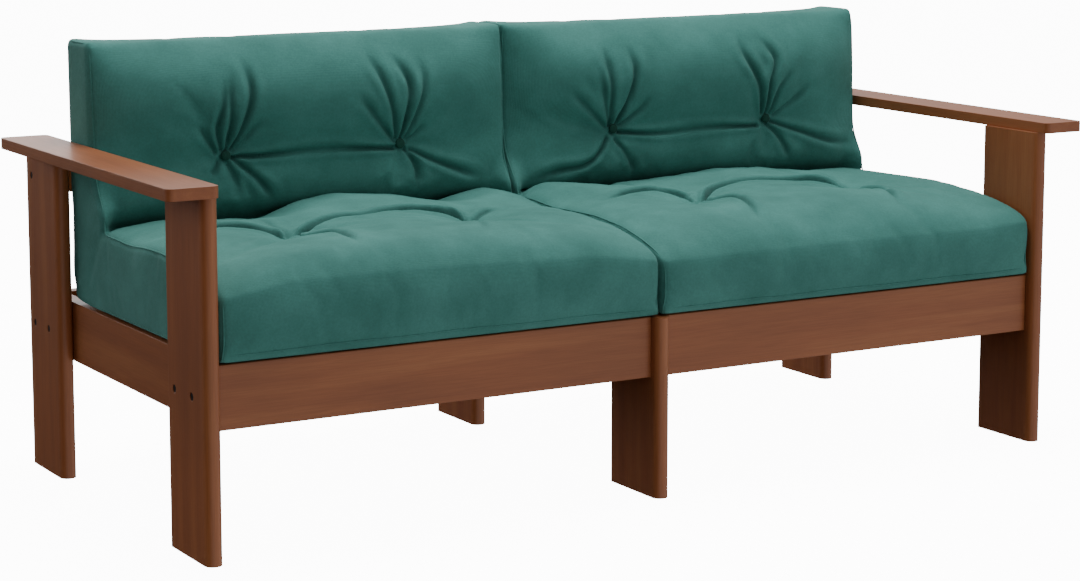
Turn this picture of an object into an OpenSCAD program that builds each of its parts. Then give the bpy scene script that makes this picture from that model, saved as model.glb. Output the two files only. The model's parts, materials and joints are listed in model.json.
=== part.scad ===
// Two-module futon sofa bed with a pull-out slatted deck.
// X runs along the sofa, Y towards the back, Z up. The floor is Z = 0.

/* [Frame] */
// Length over the outer faces of the end legs
leg_span = 1766; // [1500:2:2100]
// Depth over the end legs
frame_depth = 830; // [760:5:960]
// Underside of the armrests, which is the height of the end legs
leg_height = 610; // [560:5:680]
// Width of each leg plank, front to back
leg_width = 155; // [130:1:175]
// Thickness of each leg plank
leg_thick = 30; // [24:1:36]

/* [Rails] */
// Underside of the seat rails
rail_low = 220; // [180:5:260]
// Height of the seat rails
rail_height = 110; // [95:1:130]
// Thickness of the front rail boards
front_rail_thick = 20; // [16:1:24]
// How far the front rails stand behind the leg fronts
front_rail_inset = 22; // [12:1:30]
// Thickness of the side rails
side_rail_thick = 26; // [20:1:32]
// Thickness of the bearer, the rear rails and the upper back rail
cross_rail_thick = 28; // [24:1:30]
// Height of the middle of the upper back rail
back_rail_mid = 553; // [500:1:570]
// Height of the upper back rail
back_rail_height = 70; // [50:1:76]

/* [Armrests] */
// Thickness of the armrest boards
arm_thick = 20; // [16:1:28]
// Width of the armrest boards
arm_width = 91; // [85:1:110]
// How far an armrest stands out beyond its legs
arm_outside = 67; // [50:1:67]
// How far an armrest stands out in front of its leg
arm_front = 20; // [5:1:40]
// How far an armrest stops short of the rear leg's back edge
arm_rear_inset = 46; // [20:1:60]
// Corner radius of the armrests in plan
arm_corner = 12; // [6:1:20]

/* [Slats] */
// Thickness of the fixed deck slats
slat_thick = 18; // [14:1:18]
// Width of a deck slat
slat_width = 62; // [40:1:70]
// Deck slats in each half of the deck, fixed and sliding taken together
slats_per_half = 8; // [8:1:8]
// Width of a back slat
back_slat_width = 70; // [40:1:90]
// Back slats in each half of the back
back_slats_per_half = 4; // [4:1:4]
// Thickness of a back slat
back_slat_thick = 20; // [14:1:22]
// Height of the deck above the seat rails
deck_proud = 7; // [3:1:12]

/* [Futon] */
// Thickness of the seat part
seat_pad = 145; // [120:5:160]
// Thickness of the back part
back_pad = 150; // [100:5:160]
// Top of the back part
back_top = 806; // [740:2:860]
// Distance from the rear end of the deck to the fold
fold_inset = 51; // [45:1:90]
// How far the seat part stands out in front of the front rails
pad_front = 12; // [0:1:20]
// Gap between the two modules, and between a module and the end legs
pad_gap = 6; // [4:1:12]

/* [Hidden] */
$fn = 64;
pad_clear = 1;
slide_clear = 1;
leg_x = leg_span / 2;
inner_x = leg_x - leg_thick;
rail_inner_x = inner_x - side_rail_thick;
front_y = -(frame_depth + arm_front) / 2 + arm_front;
rear_y = front_y + frame_depth;
rail_top = rail_low + rail_height;
deck_z = rail_top + deck_proud;
bolt_z = rail_low + rail_height / 2;
bolt_inset_a = 25;
bolt_inset_b = 98;
front_rail_y = front_y + front_rail_inset;
front_rail_back = front_rail_y + front_rail_thick;
bearer_y = front_rail_back + 2;
bearer_back = bearer_y + cross_rail_thick;
bearer_low = bolt_z - 13;
bearer_top = bolt_z + 25;
cleat_depth = 28;
rear_rail_y = rear_y - bolt_inset_a - cross_rail_thick / 2;
back_slat_y = rear_rail_y - back_slat_thick;
fixed_slat_low = deck_z - slat_thick;
sliding_slat_low = fixed_slat_low + slide_clear;
cleat_low = fixed_slat_low - 28;
front_cleat_low = fixed_slat_low - 38;
sliding_slat_end = back_slat_y - 37;
slat_field = rail_inner_x - leg_thick / 2 - 2;
slat_pitch = (slat_field - 2) / slats_per_half;
back_slat_pitch = (slat_field - 2) / back_slats_per_half;
notch_z = bearer_low - 2;
channel_low = rail_low + 2;
channel_height = notch_z - channel_low - 2;
channel_depth = 20;
channel_wall = 2;
bar_height = channel_height - 2 * channel_wall - 2;
bar_thick = 14;
channel_front = bearer_back + 4;
channel_back = back_slat_y - 8;
fold_y = back_slat_y - fold_inset;
fold_z = deck_z + pad_clear;
seat_front = front_rail_y - pad_front;
seat_top = fold_z + seat_pad;
back_front = fold_y - back_pad;
pad_inner = pad_gap / 2;
pad_outer = inner_x - pad_gap / 2;
tuft_spread = 187;
button_z = 598;
button_r = 13;
button_thick = 6;
bolt_shank = 46;
bolt_r = 4;
bolt_hole_r = 4.2;
head_r = 6.5;
head_hole_r = 7;
head_thick = 5;
counterbore = 6;
dowel_r = 5;
dowel_long = 36;
dowel_in_arm = 12;
dowel_x = leg_x - 13;
overcut = 1;

walnut_stain = [0.42, 0.20, 0.13];
slat_wood = [0.72, 0.52, 0.34];
teal_fabric = [0.17, 0.42, 0.38];
dark_steel = [0.12, 0.10, 0.09];
zinc_steel = [0.62, 0.63, 0.64];
dowel_wood = [0.80, 0.66, 0.46];

// A copy on the left for side = -1, or on the right for side = 1
module mirrored(side) {
  if (side < 0)
    mirror([1, 0, 0]) children();
  else
    children();
}

// A board from one corner to the opposite one
module board(low, high) {
  translate(low)
    cube(high - low);
}

// A flat shape drawn in Y and Z, standing from x0 to x1
module along_x(x0, x1) {
  translate([x0, 0, 0])
    rotate([90, 0, 90])
      linear_extrude(x1 - x0)
        children();
}

// A board along X whose four long edges are rounded
module soft_board(x0, x1, low, high, r) {
  along_x(x0, x1)
    soft_outline(low, high, [r, r, r, r]);
}

// A rectangle with one radius for each corner, anticlockwise from the lower front one
module soft_outline(low, high, r) {
  polygon([
    [low.x + r[0], low.y],
    [high.x - r[1], low.y],
    [high.x, low.y + r[1]],
    [high.x, high.y - r[2]],
    [high.x - r[2], high.y],
    [low.x + r[3], high.y],
    [low.x, high.y - r[3]],
    [low.x, low.y + r[0]]
  ]);
  translate([low.x + r[0], low.y + r[0]])
    circle(r[0]);
  translate([high.x - r[1], low.y + r[1]])
    circle(r[1]);
  translate([high.x - r[2], high.y - r[2]])
    circle(r[2]);
  translate([low.x + r[3], high.y - r[3]])
    circle(r[3]);
}

// A plank standing on the floor, with a round nose in front
module nosed_plank(x_mid, y_front, height) {
  nose = leg_thick / 2;
  translate([x_mid, y_front + nose, 0])
    linear_extrude(height)
      union() {
        circle(nose);
        translate([-nose, 0])
          square([leg_thick, leg_width - nose]);
      }
}

// A bore along X that enters at x0 and goes inwards, towards the middle
module bore_in(x0, y, z, r, depth) {
  translate([x0 + overcut, y, z])
    rotate([0, -90, 0])
      cylinder(h = depth + overcut, r = r);
}

// The hole of one leg bolt: a counterbore and a clearance hole
module leg_hole(y, z) {
  bore_in(leg_x, y, z, head_hole_r, counterbore);
  bore_in(leg_x, y, z, bolt_hole_r, leg_thick + overcut);
}

// The blind hole in a rail's end or side that takes a bolt's tip
module rail_hole(y, z) {
  bore_in(inner_x, y, z, bolt_hole_r, bolt_shank - leg_thick + counterbore + 2);
}

// Blind holes for the two dowels in the top of an end leg
module arm_dowel_places(y_front) {
  for (y = [y_front + 45, y_front + 105])
    translate([dowel_x, y, leg_height - (dowel_long - dowel_in_arm)])
      children();
}

module leg_front(side) {
  color(walnut_stain)
    mirrored(side)
      difference() {
        nosed_plank(leg_x - leg_thick / 2, front_y, leg_height);
        leg_hole(front_y + leg_width - bolt_inset_a, bolt_z);
        leg_hole(front_y + leg_width - bolt_inset_b, bolt_z);
        arm_dowel_places(front_y)
          cylinder(h = dowel_long, r = dowel_r);
      }
}

module leg_rear(side) {
  color(walnut_stain)
    mirrored(side)
      difference() {
        nosed_plank(leg_x - leg_thick / 2, rear_y - leg_width, leg_height);
        leg_hole(rear_y - bolt_inset_a, bolt_z);
        leg_hole(rear_y - bolt_inset_b, bolt_z);
        leg_hole(rear_y - bolt_inset_a, back_rail_mid);
        arm_dowel_places(rear_y - leg_width - arm_rear_inset + 10)
          cylinder(h = dowel_long, r = dowel_r);
      }
}

module leg_rear_centre() {
  color(walnut_stain)
    nosed_plank(0, rear_y - leg_width, rail_top);
}

// The centre front leg is cut back at the top, where the fixed bearer passes behind the rails
module leg_front_centre() {
  color(walnut_stain)
    difference() {
      nosed_plank(0, front_y, rail_top);
      board([-leg_thick, front_rail_back, notch_z],
            [leg_thick, front_y + leg_width + overcut, rail_top + overcut]);
      rail_dowel_places()
        cylinder(h = 2 * dowel_long, r = dowel_r);
    }
}

module side_rail(side) {
  color(walnut_stain)
    mirrored(side)
      difference() {
        board([rail_inner_x, bearer_back, rail_low], [inner_x, rear_rail_y, rail_top]);
        rail_hole(front_y + leg_width - bolt_inset_a, bolt_z);
        rail_hole(rear_y - bolt_inset_b, bolt_z);
      }
}

module rear_rail(side) {
  color(walnut_stain)
    mirrored(side)
      difference() {
        board([leg_thick / 2, rear_rail_y, rail_low],
              [inner_x, rear_rail_y + cross_rail_thick, rail_top]);
        rail_hole(rear_y - bolt_inset_a, bolt_z);
      }
}

module back_rail() {
  color(walnut_stain)
    difference() {
      soft_board(-inner_x, inner_x,
                 [rear_rail_y, back_rail_mid - back_rail_height / 2],
                 [rear_rail_y + cross_rail_thick, back_rail_mid + back_rail_height / 2], 4);
      for (side = [-1, 1])
        mirrored(side)
          rail_hole(rear_y - bolt_inset_a, back_rail_mid);
    }
}

// Places of the two dowels that join the front rails through the centre leg
module rail_dowel_places() {
  for (z = [bolt_z - 30, bolt_z + 30])
    translate([-dowel_long, front_rail_y + front_rail_thick / 2, z])
      rotate([0, 90, 0])
        children();
}

module front_rail(side) {
  color(walnut_stain)
    difference() {
      mirrored(side)
        soft_board(leg_thick / 2, inner_x - 1, [front_rail_y, rail_low],
                   [front_rail_back, rail_top], 2);
      rail_dowel_places()
        cylinder(h = 2 * dowel_long, r = dowel_r);
    }
}

module front_bearer() {
  color(slat_wood)
    difference() {
      board([-inner_x, bearer_y, bearer_low], [inner_x, bearer_back, bearer_top]);
      for (side = [-1, 1])
        mirrored(side)
          rail_hole(front_y + leg_width - bolt_inset_b, bolt_z);
    }
}

module front_cleat() {
  color(slat_wood)
    board([-rail_inner_x, bearer_back, front_cleat_low],
          [rail_inner_x, bearer_back + cleat_depth, fixed_slat_low]);
}

module centre_beam() {
  beam_half = leg_thick / 2 - 1;
  color(slat_wood)
    board([-beam_half, bearer_back + cleat_depth, bearer_low],
          [beam_half, rear_y - leg_width, fixed_slat_low - 1]);
}

module rear_cleat(side) {
  color(slat_wood)
    mirrored(side)
      board([leg_thick / 2, back_slat_y - cleat_depth, cleat_low],
            [rail_inner_x, back_slat_y, fixed_slat_low]);
}

module deck_cleat(side) {
  color(slat_wood)
    mirrored(side)
      board([leg_thick / 2, front_rail_back, bearer_top + 2],
            [inner_x - 3, front_rail_back + cleat_depth, sliding_slat_low]);
}

module arm(side) {
  low = [leg_x + arm_outside - arm_width, front_y - arm_front];
  high = [leg_x + arm_outside, rear_y - arm_rear_inset];
  color(walnut_stain)
    mirrored(side)
      difference() {
        translate([0, 0, leg_height])
          linear_extrude(arm_thick)
            soft_outline(low, high, [arm_corner, arm_corner, arm_corner, arm_corner]);
        arm_dowel_places(front_y)
          cylinder(h = dowel_long, r = dowel_r);
        arm_dowel_places(rear_y - leg_width - arm_rear_inset + 10)
          cylinder(h = dowel_long, r = dowel_r);
      }
}

// A steel channel on the side rail's inner face, open towards the middle
module slide_channel(side) {
  color(zinc_steel)
    mirrored(side)
      difference() {
        board([rail_inner_x - channel_depth, channel_front, channel_low],
              [rail_inner_x, channel_back, channel_low + channel_height]);
        board([rail_inner_x - channel_depth - overcut, channel_front - overcut,
               channel_low + channel_wall],
              [rail_inner_x - channel_wall, channel_back + overcut,
               channel_low + channel_height - channel_wall]);
      }
}

// The steel bar behind the front rail that runs in the channel
module slide_bar(side) {
  low_z = channel_low + channel_wall + slide_clear;
  color(zinc_steel)
    mirrored(side)
      board([rail_inner_x - channel_wall - slide_clear - bar_thick, front_rail_back, low_z],
            [rail_inner_x - channel_wall - slide_clear, channel_back - 20, low_z + bar_height]);
}

// Middle of a deck slat, counted from the centre outwards
function slat_x(i) = leg_thick / 2 + 2 + (i + 0.5) * slat_pitch;

module deck_slat(x, sliding) {
  low_z = sliding ? sliding_slat_low : fixed_slat_low;
  y0 = sliding ? front_rail_back : bearer_back;
  y1 = sliding ? sliding_slat_end : back_slat_y;
  color(slat_wood)
    board([x - slat_width / 2, y0, low_z], [x + slat_width / 2, y1, deck_z]);
}

module fixed_slat(k) {
  side = k <= slats_per_half / 2 ? -1 : 1;
  i = (k - 1) % (slats_per_half / 2);
  deck_slat(side * slat_x(2 * i + 1), false);
}

module sliding_slat(k) {
  side = k <= slats_per_half / 2 ? -1 : 1;
  i = (k - 1) % (slats_per_half / 2);
  deck_slat(side * slat_x(2 * i), true);
}

module back_slat(k) {
  side = k <= back_slats_per_half ? -1 : 1;
  i = (k - 1) % back_slats_per_half;
  x = side * (leg_thick / 2 + 2 + (i + 0.5) * back_slat_pitch);
  color(slat_wood)
    translate([x - back_slat_width / 2, back_slat_y, rail_low + 20])
      cube([back_slat_width, back_slat_thick, back_rail_mid + 35 - rail_low - 20]);
}

// Everything behind and above the mitre of the fold, used to part seat and back
module beyond_mitre() {
  rise = seat_top - fold_z;
  reach = fold_y - back_front;
  along_x(-leg_x, leg_x)
    polygon([
      [fold_y + reach, fold_z - rise],
      [back_front - reach, seat_top + rise],
      [back_front - reach, back_top + 2 * rise],
      [fold_y + 4 * reach, back_top + 2 * rise],
      [fold_y + 4 * reach, fold_z - rise]
    ]);
}

module futon_seat(side) {
  color(teal_fabric)
    mirrored(side)
      difference() {
        along_x(pad_inner, pad_outer)
          soft_outline([seat_front, fold_z], [fold_y, seat_top], [24, 50, 1, 60]);
        translate([0, -pad_clear, -pad_clear])
          beyond_mitre();
      }
}

module futon_back(side) {
  color(teal_fabric)
    mirrored(side)
      intersection() {
        along_x(pad_inner, pad_outer)
          soft_outline([back_front, fold_z], [fold_y, back_top], [1, 50, 36, 50]);
        translate([0, pad_clear, pad_clear])
          beyond_mitre();
      }
}

// Two covered buttons on the front of the back part, and two behind it
module buttons(side) {
  middle = (pad_inner + pad_outer) / 2;
  color(teal_fabric)
    mirrored(side)
      for (dx = [-tuft_spread, tuft_spread]) {
        translate([middle + dx, back_front, button_z])
          rotate([90, 0, 0])
            cylinder(h = button_thick, r = button_r);
        translate([middle + dx, fold_y + button_thick, button_z])
          rotate([90, 0, 0])
            cylinder(h = button_thick, r = button_r);
      }
}

module leg_bolt(y, z) {
  translate([leg_x - counterbore, y, z])
    rotate([0, 90, 0])
      cylinder(h = head_thick, r = head_r);
  translate([leg_x - counterbore - bolt_shank, y, z])
    rotate([0, 90, 0])
      cylinder(h = bolt_shank + 1, r = bolt_r);
}

module leg_bolts() {
  color(dark_steel)
    for (side = [-1, 1])
      mirrored(side) {
        leg_bolt(front_y + leg_width - bolt_inset_a, bolt_z);
        leg_bolt(front_y + leg_width - bolt_inset_b, bolt_z);
        leg_bolt(rear_y - bolt_inset_a, bolt_z);
        leg_bolt(rear_y - bolt_inset_b, bolt_z);
        leg_bolt(rear_y - bolt_inset_a, back_rail_mid);
      }
}

module arm_dowels() {
  color(dowel_wood)
    for (side = [-1, 1])
      mirrored(side) {
        arm_dowel_places(front_y)
          cylinder(h = dowel_long, r = dowel_r);
        arm_dowel_places(rear_y - leg_width - arm_rear_inset + 10)
          cylinder(h = dowel_long, r = dowel_r);
      }
}

module rail_dowels() {
  color(dowel_wood)
    rail_dowel_places()
      cylinder(h = 2 * dowel_long, r = dowel_r);
}

leg_front(-1);  // leg_front_left
leg_front(1);  // leg_front_right
leg_rear(-1);  // leg_rear_left
leg_rear(1);  // leg_rear_right
leg_rear_centre();
leg_front_centre();
side_rail(-1);  // side_rail_left
side_rail(1);  // side_rail_right
rear_rail(-1);  // rear_rail_left
rear_rail(1);  // rear_rail_right
front_rail(-1);  // front_rail_left
front_rail(1);  // front_rail_right
back_rail();
front_bearer();
front_cleat();
centre_beam();
rear_cleat(-1);  // rear_cleat_left
rear_cleat(1);  // rear_cleat_right
deck_cleat(-1);  // deck_cleat_left
deck_cleat(1);  // deck_cleat_right
arm(-1);  // arm_left
arm(1);  // arm_right
slide_channel(-1);  // slide_channel_left
slide_channel(1);  // slide_channel_right
slide_bar(-1);  // slide_bar_left
slide_bar(1);  // slide_bar_right
for (k = [1 : slats_per_half]) {
  fixed_slat(k);
  sliding_slat(k);
}
for (k = [1 : 2 * back_slats_per_half])
  back_slat(k);
futon_seat(-1);  // futon_seat_left
futon_seat(1);  // futon_seat_right
futon_back(-1);  // futon_back_left
futon_back(1);  // futon_back_right
buttons(-1);  // buttons_left
buttons(1);  // buttons_right
leg_bolts();
arm_dowels();
rail_dowels();
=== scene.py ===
import json
import math

import bpy
import numpy as np
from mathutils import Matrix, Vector


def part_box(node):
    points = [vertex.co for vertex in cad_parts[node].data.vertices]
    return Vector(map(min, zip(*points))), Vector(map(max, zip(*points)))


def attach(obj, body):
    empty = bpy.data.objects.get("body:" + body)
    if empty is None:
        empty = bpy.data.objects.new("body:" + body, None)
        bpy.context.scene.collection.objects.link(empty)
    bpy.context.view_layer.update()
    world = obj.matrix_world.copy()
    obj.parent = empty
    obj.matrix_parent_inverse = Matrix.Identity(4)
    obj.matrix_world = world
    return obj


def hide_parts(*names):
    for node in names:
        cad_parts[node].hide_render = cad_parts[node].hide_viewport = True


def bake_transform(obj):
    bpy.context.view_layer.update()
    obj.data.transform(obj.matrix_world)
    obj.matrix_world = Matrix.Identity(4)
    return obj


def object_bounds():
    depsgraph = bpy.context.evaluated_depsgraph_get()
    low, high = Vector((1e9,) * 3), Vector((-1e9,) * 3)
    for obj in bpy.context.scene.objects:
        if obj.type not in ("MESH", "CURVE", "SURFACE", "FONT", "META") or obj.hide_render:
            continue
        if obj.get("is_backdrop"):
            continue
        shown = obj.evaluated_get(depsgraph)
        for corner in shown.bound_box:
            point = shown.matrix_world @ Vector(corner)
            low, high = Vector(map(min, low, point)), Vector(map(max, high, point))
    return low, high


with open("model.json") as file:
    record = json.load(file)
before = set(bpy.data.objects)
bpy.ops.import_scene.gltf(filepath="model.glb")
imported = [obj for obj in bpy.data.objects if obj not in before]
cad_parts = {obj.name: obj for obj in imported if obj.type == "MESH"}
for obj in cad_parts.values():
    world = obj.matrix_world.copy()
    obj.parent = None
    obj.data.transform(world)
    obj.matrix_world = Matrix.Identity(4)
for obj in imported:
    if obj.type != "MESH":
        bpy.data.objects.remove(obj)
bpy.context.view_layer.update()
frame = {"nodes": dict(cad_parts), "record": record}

nodes = frame["nodes"]

# ------------------------------------------------------------------ camera

SENSOR_MM = 36.0
LENS_MM = 87.43
CAMERA_PLACE = (-2.5117, -4.2521, 1.2046)
# Radians: how far the camera looks down from level, and how far it is turned from facing the front.
CAMERA_DIP = 0.1367
CAMERA_TURN = 0.5300
FRAME_SHIFT = -0.10

camera_data = bpy.data.cameras.new("camera")
camera_data.sensor_width = SENSOR_MM
camera_data.lens = LENS_MM
camera_data.shift_y = FRAME_SHIFT
camera = bpy.data.objects.new("camera", camera_data)
camera.location = CAMERA_PLACE
camera.rotation_euler = (math.pi / 2 - CAMERA_DIP, 0.0, -CAMERA_TURN)
bpy.context.collection.objects.link(camera)
bpy.context.scene.camera = camera

# ------------------------------------------------------------------ finishes


def linear(hex_code):
    """The linear colour of an sRGB hex value."""
    parts = [int(hex_code[k:k + 2], 16) / 255 for k in (1, 3, 5)]
    return tuple(
        p / 12.92 if p <= 0.04045 else ((p + 0.055) / 1.055) ** 2.4 for p in parts
    ) + (1.0,)


def add(material, kind, settings=None):
    """Adds one node. Settings are its properties, or its inputs by name or number; a socket is linked."""
    node = material.node_tree.nodes.new(kind)
    for key, value in (settings or {}).items():
        if isinstance(key, str) and hasattr(node, key):
            setattr(node, key, value)
            continue
        socket = node.inputs[key]
        if isinstance(value, bpy.types.NodeSocket):
            material.node_tree.links.new(value, socket)
        else:
            socket.default_value = value
    return node


def stops(ramp, *pairs):
    """Sets a colour ramp's stops from (place, hex) pairs."""
    elements = ramp.color_ramp.elements
    while len(elements) > 1:
        elements.remove(elements[-1])
    elements[0].position, elements[0].color = pairs[0][0], linear(pairs[0][1])
    for place, hex_code in pairs[1:]:
        elements.new(place).color = linear(hex_code)
    return ramp


def new_material(name):
    material = bpy.data.materials.new(name)
    material.use_nodes = True
    return material, material.node_tree.nodes["Principled BSDF"]


def per_metre(size_mm):
    """How often a pattern of this size repeats in a metre."""
    return 1000 / size_mm


def along(axis, long_mm, wide_mm):
    """Mapping scales for a grain that runs along one axis, from the length and width of its marks."""
    return tuple(per_metre(long_mm if k == axis else wide_mm) for k in range(3))


def planed_wood(name, axis, tones, roughness, coat, offset=0.0):
    """Planed, sanded board: long straight grain, darker pore lines and edges worn a little paler."""
    material, shader = new_material(name)
    place = add(material, "ShaderNodeTexCoord").outputs["Object"]
    shift = (offset, offset, offset)
    # Growth figure: bands 38 mm wide that wander slowly over 770 mm of board.
    figure_map = add(material, "ShaderNodeMapping",
                     {"Vector": place, "Scale": along(axis, 770, 38), "Location": shift})
    figure = add(material, "ShaderNodeTexNoise",
                 {"Vector": figure_map.outputs[0], "Scale": 1.0, "Detail": 4.0, "Roughness": 0.55,
                  "Distortion": 0.3})
    # Pore lines: 1.6 mm apart and 62 mm long, coarser than real pores so that they show.
    pore_map = add(material, "ShaderNodeMapping",
                   {"Vector": place, "Scale": along(axis, 62, 1.6), "Location": shift})
    pores = add(material, "ShaderNodeTexNoise",
                {"Vector": pore_map.outputs[0], "Scale": 1.0, "Detail": 3.0, "Roughness": 0.6})
    # Slow difference in how the stain took, over 415 mm.
    cloud = add(material, "ShaderNodeTexNoise",
                {"Vector": place, "Scale": per_metre(415), "Detail": 2.0})
    grain = stops(add(material, "ShaderNodeValToRGB", {"Fac": figure.outputs["Fac"]}),
                  (0.30, tones[0]), (0.50, tones[1]), (0.70, tones[2]))
    pore_level = add(material, "ShaderNodeMapRange",
                     {"Value": pores.outputs["Fac"], "From Min": 0.35, "From Max": 0.62,
                      "To Min": 0.90, "To Max": 1.04})
    cloud_level = add(material, "ShaderNodeMapRange",
                      {"Value": cloud.outputs["Fac"], "From Min": 0.3, "From Max": 0.7,
                       "To Min": 0.90, "To Max": 1.10})
    level = add(material, "ShaderNodeMath",
                {"operation": "MULTIPLY", 0: pore_level.outputs[0], 1: cloud_level.outputs[0]})
    shaded = add(material, "ShaderNodeVectorMath",
                 {"operation": "SCALE", 0: grain.outputs["Color"], "Scale": level.outputs[0]})
    # Worn edges: the rounded normal leaves the flat one only within 2.5 mm of an edge.
    soft_edge = add(material, "ShaderNodeBevel", {"samples": 4, "Radius": 0.0025})
    flat = add(material, "ShaderNodeNewGeometry")
    facing = add(material, "ShaderNodeVectorMath",
                 {"operation": "DOT_PRODUCT", 0: soft_edge.outputs[0], 1: flat.outputs["Normal"]})
    wear = add(material, "ShaderNodeMapRange",
               {"Value": facing.outputs["Value"], "From Min": 0.99, "From Max": 0.80,
                "To Min": 0.0, "To Max": 0.35})
    worn = add(material, "ShaderNodeMix",
               {"data_type": "RGBA", 0: wear.outputs[0], 6: shaded.outputs[0], 7: linear(tones[2])})
    gloss = add(material, "ShaderNodeMapRange",
                {"Value": pores.outputs["Fac"], "To Min": roughness + 0.08, "To Max": roughness - 0.06})
    relief = add(material, "ShaderNodeBump",
                 {"Strength": 0.12, "Distance": 0.0006, "Height": pores.outputs["Fac"],
                  "Normal": soft_edge.outputs[0]})
    material.node_tree.links.new(worn.outputs[2], shader.inputs["Base Color"])
    material.node_tree.links.new(gloss.outputs[0], shader.inputs["Roughness"])
    material.node_tree.links.new(relief.outputs[0], shader.inputs["Normal"])
    shader.inputs["Coat Weight"].default_value = coat
    shader.inputs["Coat Roughness"].default_value = 0.28
    shader.inputs["Specular IOR Level"].default_value = 0.22
    return material


MAHOGANY = ("#8a4e2e", "#955733", "#a0623b")
PINE = ("#b98e5c", "#cda672", "#dcbb8a")
BIRCH = ("#c4a271", "#d6b98a", "#e2cba2")
grain_axis = {"x": 0, "y": 1, "z": 2}
# Mahogany-stained beech under satin lacquer: red-brown, straight fine grain, a soft broad shine.
stained = {a: planed_wood(f"beech_mahogany_stain_satin_lacquer_{a}", k, MAHOGANY, 0.42, 0.30)
           for a, k in grain_axis.items()}
# Bare planed pine: pale straw, dull, with stronger growth bands.
pine = {a: planed_wood(f"pine_planed_bare_{a}", k, PINE, 0.62, 0.0, offset=3.0)
        for a, k in grain_axis.items()}
# Turned birch dowel: the palest and dullest of the woods.
birch = planed_wood("birch_dowel_turned", 2, BIRCH, 0.66, 0.0, offset=5.0)


def steel(name, tone, roughness, axis):
    """Rolled steel: drawing lines 1.1 mm apart along its length, and plating uneven over 17 mm."""
    material, shader = new_material(name)
    place = add(material, "ShaderNodeTexCoord").outputs["Object"]
    lines = add(material, "ShaderNodeMapping", {"Vector": place, "Scale": along(axis, 83, 1.1)})
    drawn = add(material, "ShaderNodeTexNoise",
                {"Vector": lines.outputs[0], "Scale": 1.0, "Detail": 2.0})
    patches = add(material, "ShaderNodeTexNoise",
                  {"Vector": place, "Scale": per_metre(17), "Detail": 3.0})
    tone_level = add(material, "ShaderNodeMapRange",
                     {"Value": patches.outputs["Fac"], "To Min": 0.85, "To Max": 1.12})
    shaded = add(material, "ShaderNodeVectorMath",
                 {"operation": "SCALE", 0: linear(tone)[:3], "Scale": tone_level.outputs[0]})
    gloss = add(material, "ShaderNodeMapRange",
                {"Value": drawn.outputs["Fac"], "To Min": roughness + 0.1, "To Max": roughness - 0.1})
    relief = add(material, "ShaderNodeBump",
                 {"Strength": 0.08, "Distance": 0.0003, "Height": drawn.outputs["Fac"]})
    material.node_tree.links.new(shaded.outputs[0], shader.inputs["Base Color"])
    material.node_tree.links.new(gloss.outputs[0], shader.inputs["Roughness"])
    material.node_tree.links.new(relief.outputs[0], shader.inputs["Normal"])
    shader.inputs["Metallic"].default_value = 1.0
    return material


# Zinc-plated steel slides: cool pale grey with a satin streak along them.
zinc = steel("steel_zinc_plated", "#b9bcc0", 0.38, 1)
# Blackened steel bolts: near-black, dull at the bottom of their counterbores.
blackened = steel("steel_blackened", "#2a2522", 0.52, 0)


def brushed_cotton(name, tones, painted_crease_tone):
    """Brushed cotton twill: matt with a soft nap, slow mottling, and painted shade darkening the colour in
    the folds.
    """
    material, shader = new_material(name)
    place = add(material, "ShaderNodeTexCoord").outputs["Object"]
    # Mottling over 111 mm, where the cloth was handled, and tufts of nap 3.8 mm across.
    mottle = add(material, "ShaderNodeTexNoise",
                 {"Vector": place, "Scale": per_metre(111), "Detail": 5.0, "Roughness": 0.6})
    nap = add(material, "ShaderNodeTexNoise",
              {"Vector": place, "Scale": per_metre(3.8), "Detail": 2.0, "Roughness": 0.5})
    cloth = stops(add(material, "ShaderNodeValToRGB", {"Fac": mottle.outputs["Fac"]}),
                  (0.32, tones[0]), (0.52, tones[1]), (0.72, tones[2]))
    nap_level = add(material, "ShaderNodeMapRange",
                    {"Value": nap.outputs["Fac"], "From Min": 0.3, "From Max": 0.7,
                     "To Min": 0.93, "To Max": 1.07})
    shaded = add(material, "ShaderNodeVectorMath",
                 {"operation": "SCALE", 0: cloth.outputs["Color"], "Scale": nap_level.outputs[0]})
    # Painted shade: the cloth is mixed toward the dark crease tone as far as the crease is deep, as pleat
    # stores it.
    fold = add(material, "ShaderNodeAttribute", {"attribute_name": "painted_crease_shade"})
    crease_shade_mix = add(material, "ShaderNodeMix",
                 {"data_type": "RGBA", 0: fold.outputs["Fac"], 6: shaded.outputs[0],
                  7: linear(painted_crease_tone)})
    # The weave: threads drawn 2.2 mm apart, about three times coarser than real ones so that they show.
    # At scale 1 a wave texture repeats every 2 pi / 20 of a metre.
    thread_scale = per_metre(2.2) * 2 * math.pi / 20
    threads = []
    for direction in ("X", "Y", "Z"):
        threads.append(add(material, "ShaderNodeTexWave",
                           {"Vector": place, "bands_direction": direction, "Scale": thread_scale,
                            "Distortion": 1.2, "Detail": 1.0, "Detail Scale": 0.4}))
    two = add(material, "ShaderNodeMath",
              {"operation": "ADD", 0: threads[0].outputs["Fac"], 1: threads[1].outputs["Fac"]})
    three = add(material, "ShaderNodeMath",
                {"operation": "ADD", 0: two.outputs[0], 1: threads[2].outputs["Fac"]})
    woven = add(material, "ShaderNodeBump",
                {"Strength": 0.16, "Distance": 0.0006, "Height": three.outputs[0]})
    relief = add(material, "ShaderNodeBump",
                 {"Strength": 0.10, "Distance": 0.004, "Height": mottle.outputs["Fac"],
                  "Normal": woven.outputs[0]})
    material.node_tree.links.new(crease_shade_mix.outputs[2], shader.inputs["Base Color"])
    material.node_tree.links.new(relief.outputs[0], shader.inputs["Normal"])
    shader.inputs["Roughness"].default_value = 0.88
    shader.inputs["Specular IOR Level"].default_value = 0.25
    shader.inputs["Sheen Weight"].default_value = 0.15
    shader.inputs["Sheen Roughness"].default_value = 0.45
    shader.inputs["Sheen Tint"].default_value = linear("#a8dbd3")
    return material
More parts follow.
